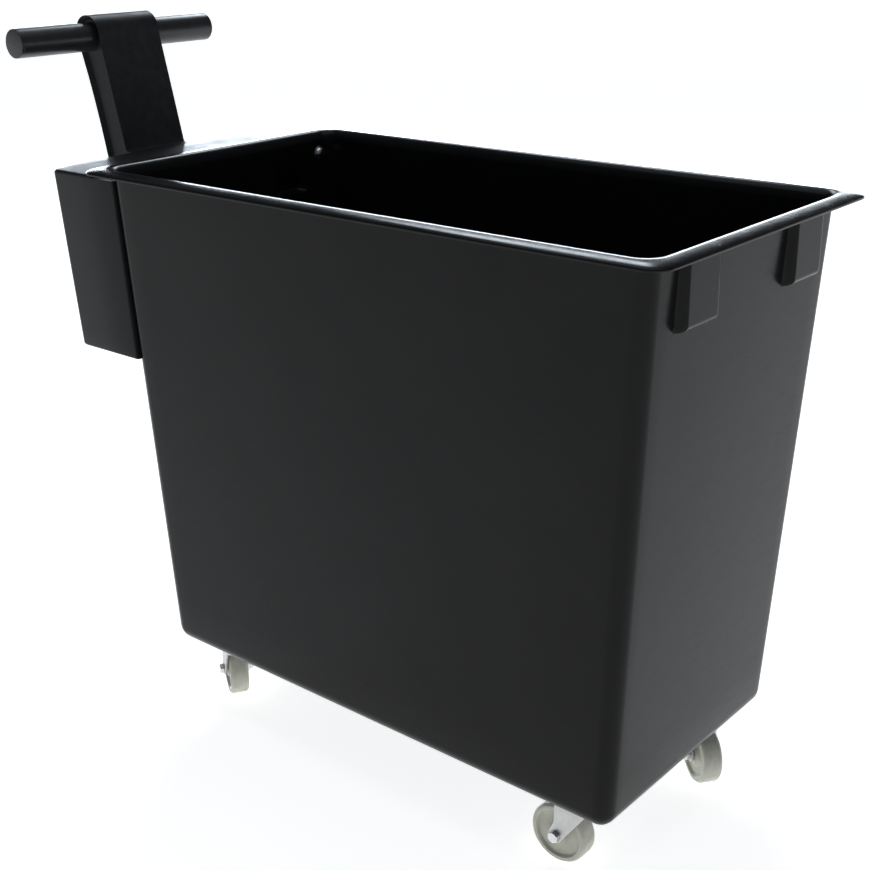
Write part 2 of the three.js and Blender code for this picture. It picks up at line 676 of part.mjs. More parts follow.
addMesh(part, 'tub', tubGeometry(), blackTub);
addMesh(part, 'handle_housing', housingGeometry(), blackHandle);
addGripBar();
addHandleFixings();
CASTORS.forEach(addCastor);

// The origin is on the floor under the middle of the whole length, handle included.
const frontEnd = wallAt(RIM_TOP[1][1]).x + RIM_OUT;
const rearEnd = HEAD_X - HEAD_RADIUS;
part.position.x = -(frontEnd + rearEnd) / 2;

export default part;
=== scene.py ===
"""Open-topped plastic tote truck on four swivel castors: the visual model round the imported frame.

Metres, +Z up, floor at z = 0, handle at the -X end. Depths are measured down from the rim's crest.
"""
import math

import bmesh
import bpy
from mathutils import Matrix, Vector


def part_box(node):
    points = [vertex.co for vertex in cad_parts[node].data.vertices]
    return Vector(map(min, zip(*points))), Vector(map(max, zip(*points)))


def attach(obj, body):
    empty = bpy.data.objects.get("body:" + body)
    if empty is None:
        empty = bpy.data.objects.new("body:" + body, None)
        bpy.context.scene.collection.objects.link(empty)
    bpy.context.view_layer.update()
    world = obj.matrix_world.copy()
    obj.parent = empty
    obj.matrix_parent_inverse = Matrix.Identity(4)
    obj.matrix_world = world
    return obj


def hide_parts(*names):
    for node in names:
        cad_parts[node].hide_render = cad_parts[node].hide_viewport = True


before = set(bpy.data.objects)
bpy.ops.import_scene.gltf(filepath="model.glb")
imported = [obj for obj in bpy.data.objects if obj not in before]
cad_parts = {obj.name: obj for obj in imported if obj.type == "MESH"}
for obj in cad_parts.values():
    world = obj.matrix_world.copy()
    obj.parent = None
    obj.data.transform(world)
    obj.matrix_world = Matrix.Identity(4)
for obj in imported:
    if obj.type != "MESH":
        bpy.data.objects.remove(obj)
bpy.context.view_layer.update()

MM = 0.001

# ---- Places and sizes read from the frame ----
TUB_LOW, TUB_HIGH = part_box("tub")
UNIT_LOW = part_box("handle_housing")[0]
BAR_LOW, BAR_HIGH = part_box("grip_bar")
PLUG_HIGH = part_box("grip_plug_left")[1]

CREST_Z = TUB_HIGH.z
TUB_HEIGHT = TUB_HIGH.z - TUB_LOW.z
TUB_MIDDLE = (TUB_LOW + TUB_HIGH) / 2

# ---- Tub ----
CREST_OUT = 7 * MM
RIM_OUT = 26 * MM
RIM_ROLL_DEPTH = 4.5 * MM
RIM_UNDER_DEPTH = 6.9 * MM
FLARE_DEPTH = 14 * MM  # of the rim's inner flare
WALL = 5 * MM
FLOOR = 6 * MM
CORNER_RADIUS = 20 * MM
CREST_CORNER_RADIUS = 27.7 * MM
RIM_CORNER_RADIUS = 24 * MM
BOTTOM_FILLET = 22 * MM
DRAFT_X = 36.5 * MM  # how much each end wall leans in, over the tub's height
DRAFT_Y = 15.5 * MM
WALL_TOP_X = TUB_HIGH.x - TUB_MIDDLE.x - RIM_OUT + DRAFT_X * RIM_ROLL_DEPTH / TUB_HEIGHT
WALL_TOP_Y = TUB_HIGH.y - RIM_OUT + DRAFT_Y * RIM_ROLL_DEPTH / TUB_HEIGHT

# Locating pads pressed out of both end walls.
PAD_Y = (80 * MM, 142 * MM)
PAD_BOTTOM = 84 * MM
PAD_PROUD = 13 * MM
PAD_ROUND = 9 * MM

# ---- Handle unit ----
UNIT_TOP = 13 * MM
UNIT_BOTTOM = CREST_Z - UNIT_LOW.z
UNIT_SIDE = (196.5 * MM, 193 * MM)  # half width at the top and at the bottom
UNIT_BACK = (-511 * MM, -489 * MM)  # rear corners from the tub's middle, top and bottom
UNIT_BOW = 22 * MM
UNIT_WRAP = 5 * MM
UNIT_CORNER = 9 * MM
UNIT_EDGE = 4 * MM
FIT_GAP = 0.5 * MM
REBATE_BACK = 35 * MM  # behind the end wall's top
REBATE_DEPTH = 16 * MM
DRAIN_RADIUS = 6 * MM

# Neck. Its points are (x from the tub's middle, z from the crest).
NECK_HALF = 52 * MM
NECK_EDGE = 6 * MM
NECK_LEAN = 0.2476  # rearward run per rise
NECK_FOOT_X = -538.5 * MM
NECK_FLARE = 3.5 * MM  # widening at the foot of the front
NECK_BEND = (-598.5 * MM, 62 * MM)
NECK_WAIST = (-582 * MM, -18 * MM)
NECK_LOW_BEND = (-567 * MM, -80 * MM)
NECK_ROOT = (-520 * MM, -196 * MM)
NECK_ROOT_FRONT = -500 * MM
HEAD_RADIUS = 25 * MM
HEAD_RISE = 4 * MM  # centre of the rounded head above the bar's axis
HEAD_AHEAD = 1 * MM  # and ahead of it

BAR_MIDDLE = (BAR_LOW + BAR_HIGH) / 2
BAR_RADIUS = (BAR_HIGH.z - BAR_LOW.z) / 2
BAR_WALL = 2.5 * MM
BAR_EDGE = 0.3 * MM
PLUG_SPIGOT = 18 * MM
PLUG_EDGE = 1.0 * MM

# ---- Fixings and castors ----
HEAD_DOME_RADIUS = 9 * MM
HEAD_DOME_HEIGHT = 5 * MM
HEAD_DOME_RIM = 0.4 * MM  # straight edge below the dome
WASHER_RADIUS = 11 * MM
BOLT_HOLE_RADIUS = 4.3 * MM
WASHER_THICKNESS = 1.0 * MM
TOUCH_GAP = 0.1 * MM  # left between fixings that meet
THREAD_RADIUS = 4 * MM
THREAD_DEPTH = 0.6 * MM
THREAD_PITCH = 1.25 * MM
THREAD_LENGTH = 14 * MM
NUT_FLATS = 13 * MM
NUT_HEIGHT = 6.5 * MM
LOCK_NUT_HEIGHT = 5.6 * MM
AXLE_HEAD_HEIGHT = 5.3 * MM
AXLE_PAST_FORK = 9 * MM
AXLE_THREADS = 7
BUSH_RADIUS = 6 * MM
BUSH_HALF = 14.7 * MM
CASTORS = ("front_right", "front_left", "rear_right", "rear_left")

# ---- Camera ----
CAMERA_AZIMUTH = 40.15
CAMERA_ELEVATION = 20.85
CAMERA_ROLL = -0.75
CAMERA_LENS = 57.65
CAMERA_DISTANCE = 1.7498
CAMERA_SLIDE = (-0.0241, 0.0056)  # right and up, across the line of sight

# ---- Floor ----
FLOOR_HALF = 40
FLOOR_THICKNESS = 0.02
FLOOR_GLOW = 0.8  # the same all over, so that the floor is white from every side

# ---- Light ----
SKY_STRENGTH = 0.11
STRIP_STRENGTH = 16.0
STRIP_SIDE = (-0.6, 0.78, 0.0)  # a low bright strip on this side gives the rim its thin bright line


# ======== Mesh helpers ========
def link(name, mesh):
    piece = bpy.data.objects.new(name, mesh)
    bpy.context.scene.collection.objects.link(piece)
    return piece


def mesh_piece(name, points, faces, sharp_degrees=38):
    """An object with smooth faces and sharp edges only where it turns by more than the given angle."""
    mesh = bpy.data.meshes.new(name)
    mesh.from_pydata([tuple(p) for p in points], [], faces)
    piece = link(name, mesh)
    tidy_mesh(piece, sharp_degrees)
    return piece


def tidy_mesh(piece, sharp_degrees=38):
    made = bmesh.new()
    made.from_mesh(piece.data)
    bmesh.ops.remove_doubles(made, verts=made.verts, dist=1e-6)
    bmesh.ops.dissolve_degenerate(made, edges=made.edges, dist=1e-6)
    bmesh.ops.recalc_face_normals(made, faces=made.faces)
    for face in made.faces:
        face.smooth = True
    for edge in made.edges:
        edge.smooth = len(edge.link_faces) != 2 or edge.calc_face_angle(0) < math.radians(sharp_degrees)
    made.to_mesh(piece.data)
    made.free()
    piece.data.update()


def stacked(rings, closed_ends=True, ring_loop=False):
    """Points and faces of a skin over equal rings; ring_loop joins the last ring to the first."""
    count = len(rings[0])
    points = [p for ring in rings for p in ring]
    faces = []
    for level in range(len(rings) if ring_loop else len(rings) - 1):
        low, high = level * count, (level + 1) % len(rings) * count
        for i in range(count):
            j = (i + 1) % count
            faces.append((low + i, low + j, high + j, high + i))
    if closed_ends and not ring_loop:
        faces.append(tuple(reversed(range(count))))
        faces.append(tuple(range((len(rings) - 1) * count, len(rings) * count)))
    return points, faces


def turned(name, profile, segments=64, closed=False, sharp_degrees=38):
    """A solid turned about Z from (radius, z) pairs. A closed profile makes a ring."""
    rings = []
    for radius, z in profile:
        reach = max(radius, 1e-7)
        ring = []
        for i in range(segments):
            angle = 2 * math.pi * i / segments
            ring.append(Vector((reach * math.cos(angle), reach * math.sin(angle), z)))
        rings.append(ring)
    points, faces = stacked(rings, closed_ends=not closed, ring_loop=closed)
    return mesh_piece(name, points, faces, sharp_degrees)


def arc(centre, radius, start, end, steps):
    """Points on an arc in a plane, angles in degrees."""
    made = []
    for i in range(steps + 1):
        angle = math.radians(start + (end - start) * i / steps)
        made.append((centre[0] + radius * math.cos(angle), centre[1] + radius * math.sin(angle)))
    return made


def bend(start, middle, end, steps):
    """Points on a curve that leaves start and reaches end along lines to the middle; start is left out."""
    start, middle, end = Vector(start), Vector(middle), Vector(end)
    made = []
    for i in range(1, steps + 1):
        t = i / steps
        made.append(tuple(start.lerp(middle, t).lerp(middle.lerp(end, t), t)))
    return made


def rounded_profile(corners, radii, steps=5):
    """A polyline whose inner corners are rounded, each as far along its sides as an arc of its radius."""
    made = [corners[0]]
    for before, corner, after, radius in zip(corners, corners[1:], corners[2:], radii):
        corner_v = Vector(corner)
        to_before = (Vector(before) - corner_v).normalized()
        to_after = (Vector(after) - corner_v).normalized()
        half = to_before.angle(to_after) / 2
        if radius <= 0 or half > math.radians(89):
            made.append(corner)
            continue
        reach = radius / math.tan(half)
        start, end = corner_v + to_before * reach, corner_v + to_after * reach
        made.append(tuple(start))
        made += bend(start, corner_v, end, steps)
    made.append(corners[-1])
    return made


def inset_outline(outline, distance):
    """A closed anticlockwise outline moved inwards by a distance."""
    made = []
    count = len(outline)
    for i, point in enumerate(outline):
        before, after = Vector(outline[i - 1]), Vector(outline[(i + 1) % count])
        here = Vector(point)
        a, b = (here - before).normalized(), (after - here).normalized()
        normal = Vector((-(a + b).y, (a + b).x)).normalized()
        stretch = max(normal.dot(Vector((-a.y, a.x))), 0.4)
        made.append(here + normal * distance / stretch)
    return made


def slab(name, outline, half_width, edge, steps=5, sharp_degrees=38):
    """A plate with an XZ outline, as wide as twice half_width along Y, with rounded side edges."""
    rings = []
    for side in (-1, 1):
        for i in range(steps + 1):
            t = (i if side < 0 else steps - i) / steps
            angle = t * math.pi / 2
            y = side * (half_width - edge * (1 - math.sin(angle)))
            inset = inset_outline(outline, edge * (1 - math.cos(math.pi / 2 - angle)))
            rings.append([Vector((p[0], y, p[1])) for p in inset])
    points, faces = stacked(rings)
    return mesh_piece(name, points, faces, sharp_degrees)


def box_solid(name, low, high):
    corners = [Vector((x, y, z)) for z in (low[2], high[2]) for x, y in (
        (low[0], low[1]), (high[0], low[1]), (high[0], high[1]), (low[0], high[1]))]
    return mesh_piece(name, *stacked([corners[:4], corners[4:]]))


def apply_modifiers(piece):
    evaluated = piece.evaluated_get(bpy.context.evaluated_depsgraph_get())
    mesh = bpy.data.meshes.new_from_object(evaluated)
    piece.modifiers.clear()
    piece.data = mesh


def combine(piece, other, operation):
    """Joins other to piece or cuts it away, and removes other."""
    modifier = piece.modifiers.new("combine", "BOOLEAN")
    modifier.object = other
    modifier.operation = operation
    modifier.solver = "EXACT"
    bpy.context.view_layer.update()
    apply_modifiers(piece)
    bpy.data.objects.remove(other)


def bevel(piece, width, segments=3, degrees=35):
    modifier = piece.modifiers.new("bevel", "BEVEL")
    modifier.width = width
    modifier.segments = segments
    modifier.limit_method = "ANGLE"
    modifier.angle_limit = math.radians(degrees)
    bpy.context.view_layer.update()
    apply_modifiers(piece)
    tidy_mesh(piece, degrees)


def transform(piece, matrix):
    piece.data.transform(matrix)
    return piece


def finish_piece(piece, body, material, replaces=()):
    piece.data.materials.clear()
    piece.data.materials.append(material)
    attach(piece, body)
    if replaces:
        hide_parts(*replaces)
    return piece


def smooth_step(value, low, high):
    t = min(max((value - low) / (high - low), 0), 1)
    return t * t * (3 - 2 * t)


# ======== Materials ========
class Tree:
    """Short calls for building a node tree."""

    def __init__(self, tree, coordinates):
        self.tree = tree
        self.coordinates = tree.nodes.new("ShaderNodeTexCoord").outputs[coordinates]

    def put(self, value, socket):
        if isinstance(value, bpy.types.NodeSocket):
            self.tree.links.new(value, socket)
        else:
            socket.default_value = value

    def scaled(self, scale):
        node = self.tree.nodes.new("ShaderNodeMapping")
        node.inputs["Scale"].default_value = scale
        self.put(self.coordinates, node.inputs["Vector"])
        return node.outputs[0]

    def noise(self, scale, detail=3.0, roughness=0.55, stretch=None):
        node = self.tree.nodes.new("ShaderNodeTexNoise")
        node.inputs["Scale"].default_value = scale
        node.inputs["Detail"].default_value = detail
        node.inputs["Roughness"].default_value = roughness
        self.put(self.scaled(stretch) if stretch else self.coordinates, node.inputs["Vector"])
        return node.outputs["Fac"]

    def spread(self, value, low, high, to_low, to_high):
        node = self.tree.nodes.new("ShaderNodeMapRange")
        for socket, amount in zip(node.inputs, (value, low, high, to_low, to_high)):
            self.put(amount, socket)
        return node.outputs[0]

    def math(self, operation, a, b=0.0):
        node = self.tree.nodes.new("ShaderNodeMath")
        node.operation = operation
        self.put(a, node.inputs[0])
        self.put(b, node.inputs[1])
        return node.outputs[0]

    def mix(self, factor, a, b):
        node = self.tree.nodes.new("ShaderNodeMix")
        node.data_type = "RGBA"
        self.put(factor, node.inputs["Factor"])
        self.put((*a, 1.0) if isinstance(a, tuple) else a, node.inputs["A"])
        self.put((*b, 1.0) if isinstance(b, tuple) else b, node.inputs["B"])
        return node.outputs["Result"]

    def geometry(self, output):
        return self.tree.nodes.new("ShaderNodeNewGeometry").outputs[output]

    def axis(self, vector, name):
        node = self.tree.nodes.new("ShaderNodeSeparateXYZ")
        self.put(vector, node.inputs[0])
        return node.outputs[name]

    def bump(self, height, distance, strength=1.0, below=None):
        node = self.tree.nodes.new("ShaderNodeBump")
        node.inputs["Strength"].default_value = strength
        node.inputs["Distance"].default_value = distance
        self.put(height, node.inputs["Height"])
        if below:
            self.put(below, node.inputs["Normal"])
        return node.outputs[0]

    def dot(self, vector, direction):
        node = self.tree.nodes.new("ShaderNodeVectorMath")
        node.operation = "DOT_PRODUCT"
        self.put(vector, node.inputs[0])
        node.inputs[1].default_value = direction
        return node.outputs["Value"]


class Nodes(Tree):
    """A material's node tree."""

    def __init__(self, name):
        self.material = bpy.data.materials.new(name)
        self.material.use_nodes = True
        super().__init__(self.material.node_tree, "Object")
        self.shader = self.tree.nodes["Principled BSDF"]

    def shade(self, **sockets):
        for name, value in sockets.items():
            if name.endswith("_Color") and isinstance(value, tuple):
                value = (*value, 1.0)
            self.put(value, self.shader.inputs[name.replace("_", " ")])
        return self.material


def black_plastic(name, dark, light, rough, peel, gloss):
    """Moulded black polyethylene: faint mottling, fine peel, slow waves, worn edges and light scuffs."""
    n = Nodes(name)
    mottle = n.noise(11, 4, 0.6)
    scuffs = n.noise(26, 5, 0.65, stretch=(1.0, 1.0, 6.0))
    wear = n.spread(n.geometry("Pointiness"), 0.54, 0.62, 0.0, 1.0)
    broken_wear = n.math("MULTIPLY", wear, n.spread(n.noise(70, 4), 0.42, 0.66, 0.0, 1.0))
    body = n.mix(n.spread(mottle, 0.3, 0.7, 0.0, 1.0), dark, light)
    worn = tuple(c * 2.6 for c in light)
    colour = n.mix(n.math("MULTIPLY", broken_wear, 0.2), body, worn)
    roughness = n.math(
        "ADD",
        n.spread(scuffs, 0.3, 0.75, rough - 0.05, rough + 0.09),
        n.math("MULTIPLY", broken_wear, 0.05),
    )
    waves = n.bump(n.noise(4.5, 1.0, 0.3), 0.5 * MM, 0.3)
    fine = n.bump(n.noise(620, 2, 0.5), 0.03 * MM, peel, waves)
    scratches = n.noise(7, 6, 0.75, stretch=(1.0, 1.0, 30.0))
    marks = n.bump(n.spread(scratches, 0.66, 0.76, 0.0, 1.0), 0.008 * MM, 0.04, fine)
    return n.shade(
        Base_Color=colour, Roughness=roughness, Normal=marks, Specular_IOR_Level=gloss, IOR=1.5,
    )


def zinc(name, base, rough, grain):
    """Zinc-plated steel with a soft crystalline mottle and fine rolling grain."""
    n = Nodes(name)
    spangle = n.noise(140, 3, 0.6)
    stain = n.spread(n.noise(30, 4, 0.6), 0.45, 0.75, 0.0, 1.0)
    plated = n.mix(n.spread(spangle, 0.3, 0.7, 0.0, 1.0), tuple(c * 0.86 for c in base), base)
    colour = n.mix(n.math("MULTIPLY", stain, 0.35), plated, tuple(c * 0.55 for c in base))
    roughness = n.spread(n.noise(grain, 3, 0.6), 0.3, 0.7, rough - 0.07, rough + 0.1)
    fine = n.bump(n.noise(grain, 2, 0.5, stretch=(1.0, 1.0, 0.2)), 0.03 * MM, 0.3)
    return n.shade(Base_Color=colour, Roughness=roughness, Normal=fine, Metallic=1.0)


def nylon(name):
    """Off-white moulded nylon, slightly waxy, with patches of grime all over and darker where the surface
    is concave, as in the dishes.
    """
    n = Nodes(name)
    base = n.mix(n.spread(n.noise(60, 3), 0.3, 0.7, 0.0, 1.0), (0.56, 0.56, 0.47), (0.66, 0.66, 0.57))
    grime = n.spread(n.noise(95, 5, 0.7), 0.5, 0.78, 0.0, 1.0)
    # Darker where the surface is concave (low pointiness), such as the dishes; the grime noise adds
    # patches everywhere.
    concave_darkening = n.spread(n.geometry("Pointiness"), 0.5, 0.44, 0.0, 1.0)
    grime_and_concave_darkening = n.math("ADD", n.math("MULTIPLY", grime, 0.35), n.math("MULTIPLY", concave_darkening, 0.45))
    colour = n.mix(n.math("MINIMUM", grime_and_concave_darkening, 1.0), base, (0.25, 0.245, 0.19))
    roughness = n.spread(grime, 0.0, 1.0, 0.38, 0.6)
    fine = n.bump(n.noise(900, 3, 0.6), 0.05 * MM, 0.4)
    return n.shade(
        Base_Color=colour, Roughness=roughness, Normal=fine, Subsurface_Weight=0.12,
        Subsurface_Radius=(0.6, 0.55, 0.4), Subsurface_Scale=2 * MM,
    )


def plain_metal(name, base, rough):
    n = Nodes(name)
    colour = n.mix(n.noise(120, 3), tuple(c * 0.8 for c in base), base)
    roughness = n.spread(n.noise(200, 2), 0.3, 0.7, rough - 0.08, rough + 0.08)
    return n.shade(Base_Color=colour, Roughness=roughness, Metallic=1.0)


TUB_PLASTIC = black_plastic(
    "tub_plastic", dark=(0.0075, 0.0076, 0.0080), light=(0.0100, 0.0101, 0.0104),
    rough=0.21, peel=0.3, gloss=0.12,
)
HANDLE_PLASTIC = black_plastic(
    "handle_plastic", dark=(0.0190, 0.0190, 0.0202), light=(0.0215, 0.0215, 0.0228),
    rough=0.36, peel=0.5, gloss=0.14,
)
GRIP_PLASTIC = black_plastic(
    "grip_plastic", dark=(0.0150, 0.0150, 0.0170), light=(0.0180, 0.0180, 0.0205),
    rough=0.30, peel=0.35, gloss=0.50,
)
ZINC_STEEL = zinc("zinc_steel", (0.62, 0.63, 0.62), 0.38, 420)
BRIGHT_ZINC = zinc("bright_zinc", (0.80, 0.81, 0.82), 0.24, 600)
WHEEL_NYLON = nylon("wheel_nylon")
INSERT_BRASS = plain_metal("insert_brass", (0.62, 0.45, 0.2), 0.35)


# ======== Tub ========
def wall_at(depth):
    """Half length and half width of the outside of the wall."""
    down = depth / TUB_HEIGHT
    return WALL_TOP_X - DRAFT_X * down, WALL_TOP_Y - DRAFT_Y * down


def pad_edges(middle):
    """Columns close together round one side of a pad."""
    return [middle + step * MM for step in (-4.5, -3, -2, -1.2, -0.6, 0, 0.6, 1.2, 2, 3.5, 5, 7, 9)]


END_HALF = [
    0, 20 * MM, 40 * MM, 58 * MM, 70 * MM, *pad_edges(PAD_Y[0]),
    97 * MM, 111 * MM, 123 * MM, 128 * MM, 133 * MM, *pad_edges(PAD_Y[1]),
]
END_COLUMNS = [-y for y in reversed(END_HALF[1:])] + END_HALF
LONG_COLUMNS = 36
CORNER_COLUMNS = 10


def pad_share(y, depth, inset):
    """How far a point of an end wall is pushed towards the pads' face, from 0 to 1."""
    across = abs(y)
    soft = 7 * MM if inset > 0 else 2.4 * MM
    start, end = PAD_Y[0] + inset, PAD_Y[1] - inset
    side = smooth_step(across, start - soft, start + soft)
    side *= 1 - smooth_step(across, end - soft, end + soft)
    bottom = PAD_BOTTOM - inset
    drop = min(max((depth - bottom + PAD_ROUND) / PAD_ROUND, 0), 1)
    lower = math.sqrt(max(1 - drop * drop, 0))
    upper = smooth_step(depth, 34 * MM, 84 * MM) if inset > 0 else 1
    return side * lower * upper


def pad_face(depth_out):
    return wall_at(PAD_BOTTOM)[0] + PAD_PROUD + depth_out


def corner_radius(out):
    """Radius of the tub's vertical corners at a distance outside the wall."""
    if out > CREST_OUT:
        share = (out - CREST_OUT) / (RIM_OUT - CREST_OUT)
        return CREST_CORNER_RADIUS + (RIM_CORNER_RADIUS - CREST_CORNER_RADIUS) * share
    return max(CORNER_RADIUS + (CREST_CORNER_RADIUS - CORNER_RADIUS) * out / CREST_OUT, 4 * MM)


def tub_ring(out, depth, inner=False, padded=True):
    """One level ring of the tub's skin, anticlockwise seen from above."""
    wall_x, wall_y = wall_at(depth)
    half_x, half_y = wall_x + out, wall_y + out
    radius = corner_radius(out)
    straight_x, straight_y = half_x - radius, half_y - radius
    z = CREST_Z - depth
    ring = []
    for end in (1, -1):
        for y in END_COLUMNS:
            x = half_x
            share = pad_share(y, depth, WALL if inner else 0)
            face = pad_face(-WALL if inner else 0)
            if padded and face > half_x:
                x += (face - half_x) * share
            ring.append(Vector((end * x, end * y, z)))
        for i in range(CORNER_COLUMNS + 1):
            angle = i / CORNER_COLUMNS * math.pi / 2
            ring.append(Vector((
                end * (straight_x + radius * math.cos(angle)),
                end * (straight_y + radius * math.sin(angle)),
                z,
            )))
        for i in range(1, LONG_COLUMNS):
            ring.append(Vector((end * straight_x * (1 - 2 * i / LONG_COLUMNS), end * half_y, z)))
        for i in range(CORNER_COLUMNS + 1):
            angle = (1 + i / CORNER_COLUMNS) * math.pi / 2
            ring.append(Vector((
                end * (-straight_x + radius * math.cos(angle)),
                end * (straight_y + radius * math.sin(angle)),
                z,
            )))
    return [p + Vector((TUB_MIDDLE.x, 0, 0)) for p in ring]


def bottom_levels(out, bottom, fillet, steps=7):
    """(out, depth) pairs from the flat bottom round the fillet to the wall."""
    levels = []
    for i in range(steps + 1):
        angle = i / steps * math.pi / 2
        levels.append((out - fillet * (1 - math.sin(angle)), bottom - fillet * (1 - math.cos(angle))))
    return levels


def wall_depths(top, bottom):
    """Depths down a wall, close together round the pads' lower edge."""
    near = [top, 24 * MM, 28 * MM, 40 * MM, 55 * MM, 68 * MM]
    edge = [(73 + 0.8 * i) * MM for i in range(15)]
    low = [(90 + 45 * i) * MM for i in range(12)]
    return [d for d in near + edge + low if top <= d < bottom - 8 * MM]


def rim_levels():
    """(out, depth) pairs of the rolled rim: its underside, then its crest and inner flare."""
    under = rounded_profile(
        [(0, 17 * MM), (0.2 * MM, 6.5 * MM),
         (RIM_OUT - 0.4 * MM, RIM_UNDER_DEPTH), (RIM_OUT, RIM_ROLL_DEPTH + 0.2 * MM)],
        [5 * MM, 1.4 * MM],
    )
    roll = []
    for i in range(11):
        angle = i / 10 * math.pi / 2
        roll.append((
            CREST_OUT + (RIM_OUT - CREST_OUT) * math.cos(angle),
            RIM_ROLL_DEPTH * (1 - math.sin(angle)),
        ))
    flare = []
    for i in range(1, 11):
        angle = i / 10 * math.pi / 2
        flare.append((
            -WALL + (CREST_OUT + WALL) * (1 - math.sin(angle)),
            FLARE_DEPTH * (1 - math.cos(angle)),
        ))
    return under, roll + flare


def make_tub():
    outer = [tub_ring(out, depth) for out, depth in bottom_levels(0, TUB_HEIGHT, BOTTOM_FILLET)]
    outer += [tub_ring(0, d) for d in reversed(wall_depths(18 * MM, TUB_HEIGHT - BOTTOM_FILLET))]
    under, over = rim_levels()
    rim = [tub_ring(out, depth) for out, depth in under]
    rim += [tub_ring(out, depth, padded=False) for out, depth in over]
    floor_depth = TUB_HEIGHT - FLOOR
    inner_fillet = BOTTOM_FILLET - WALL
    inner = [tub_ring(-WALL, d, True) for d in wall_depths(22 * MM, floor_depth - inner_fillet)]
    inner_bottom = bottom_levels(-WALL, floor_depth, inner_fillet)
    inner += [tub_ring(out, d, True) for out, d in reversed(inner_bottom)]
    tub = mesh_piece("tub_body", *stacked(outer + rim + inner), sharp_degrees=55)
    return finish_piece(tub, "chassis", TUB_PLASTIC, ["tub"])


# ======== Handle unit ========
def unit_ring(inset, depth):
    """Outline of the housing: it follows the end wall and the tub's corners, then a bowed back."""
    down = (depth - UNIT_TOP) / (UNIT_BOTTOM - UNIT_TOP)
    wall_x, wall_y = wall_at(depth)
    side = UNIT_SIDE[0] + (UNIT_SIDE[1] - UNIT_SIDE[0]) * down - inset
    back = UNIT_BACK[0] + (UNIT_BACK[1] - UNIT_BACK[0]) * down + inset
    corner = CORNER_RADIUS + FIT_GAP
    widest = math.acos((CORNER_RADIUS - UNIT_WRAP) / corner)
    half = []
    for y in END_HALF[1:]:
        push = (pad_face(FIT_GAP) - wall_x - FIT_GAP) * pad_share(y, depth, -FIT_GAP)
        half.append((-wall_x - FIT_GAP - max(push, 0), y))
    for i in range(7):
        angle = widest * i / 6
        half.append((
            -(wall_x - CORNER_RADIUS) - corner * math.cos(angle),
            wall_y - CORNER_RADIUS + corner * math.sin(angle),
        ))
    front = -wall_x + UNIT_WRAP
    half += [(front, side - 1.5 * MM), (front - 0.5 * MM, side - 0.5 * MM), (front - 1.5 * MM, side)]
    half.append(((front + back) / 2, side))
    half += arc((back + UNIT_CORNER, side - UNIT_CORNER), UNIT_CORNER, 90, 180, 8)
    straight = side - UNIT_CORNER
    for i in range(1, 14):
        share = 1 - i / 14
        half.append((back - UNIT_BOW * (1 - share * share), straight * share))
    other_half = [(x, -y) for x, y in reversed(half)]
    loop = [(-wall_x - FIT_GAP, 0)] + half + [(back - UNIT_BOW, 0)] + other_half
    return [Vector((TUB_MIDDLE.x + x, y, CREST_Z - depth)) for x, y in loop]


def neck_outline():
    """Side outline of the neck: up its front, over the head, down its back and closed in the housing."""
    foot = (NECK_FOOT_X, -UNIT_TOP)
    lean = Vector((-NECK_LEAN, 1)).normalized()
    head = Vector((BAR_MIDDLE.x - TUB_MIDDLE.x + HEAD_AHEAD, BAR_MIDDLE.z - CREST_Z + HEAD_RISE))
    front = [(foot[0] + NECK_FLARE, foot[1])]
    front += bend(front[0], foot, Vector(foot) + lean * NECK_FLARE * 1.4, 5)
    for i in range(1, 12):
        t = 0.06 + 0.88 * i / 11
        front.append((foot[0] - NECK_LEAN * (head.y - foot[1]) * t, foot[1] + (head.y - foot[1]) * t))
    crown = arc(head, HEAD_RADIUS, 6, 212, 30)
    back = bend(crown[-1], NECK_BEND, NECK_WAIST, 14)
    back += bend(NECK_WAIST, NECK_LOW_BEND, NECK_ROOT, 12)
    inside = [(NECK_ROOT_FRONT, NECK_ROOT[1]), (NECK_ROOT_FRONT, -UNIT_TOP)]
    outline = front + crown + back + inside
    return [(x + TUB_MIDDLE.x, z + CREST_Z) for x, z in outline]


def make_housing():
    angles = [i / 5 * math.pi / 2 for i in range(6)]
    levels = [(UNIT_EDGE * (1 - math.sin(a)), UNIT_BOTTOM - UNIT_EDGE * (1 - math.cos(a))) for a in angles]
    side_depths = wall_depths(UNIT_TOP + UNIT_EDGE + 2 * MM, UNIT_BOTTOM - UNIT_EDGE)
    levels += [(0, d) for d in reversed(side_depths)]
    levels += [(UNIT_EDGE * (1 - math.cos(a)), UNIT_TOP + UNIT_EDGE * (1 - math.sin(a))) for a in angles]
    housing = mesh_piece("handle_unit", *stacked([unit_ring(inset, depth) for inset, depth in levels]))
    neck = slab("neck", neck_outline(), NECK_HALF, NECK_EDGE)
    combine(housing, neck, "UNION")
    rebate_x = TUB_MIDDLE.x - WALL_TOP_X - REBATE_BACK
    rebate = box_solid("rebate", (rebate_x, -0.3, CREST_Z - REBATE_DEPTH), (TUB_MIDDLE.x, 0.3, CREST_Z))
    combine(housing, rebate, "DIFFERENCE")
    hole = turned("bar_hole", [(BAR_RADIUS + 0.2 * MM, -0.2), (BAR_RADIUS + 0.2 * MM, 0.2)], 64)
    transform(hole, Matrix.Translation(BAR_MIDDLE) @ Matrix.Rotation(math.pi / 2, 4, "X"))
    combine(housing, hole, "DIFFERENCE")
    drain = turned("drain", [(DRAIN_RADIUS, -5 * MM), (DRAIN_RADIUS, 12 * MM)], 48)
    drain_x = TUB_MIDDLE.x + (UNIT_BACK[0] - 0.4) / 2
    transform(drain, Matrix.Translation((drain_x, 0, UNIT_LOW.z)))
    combine(housing, drain, "DIFFERENCE")
    tidy_mesh(housing, 42)
    return finish_piece(housing, "chassis", HANDLE_PLASTIC, ["handle_housing"])


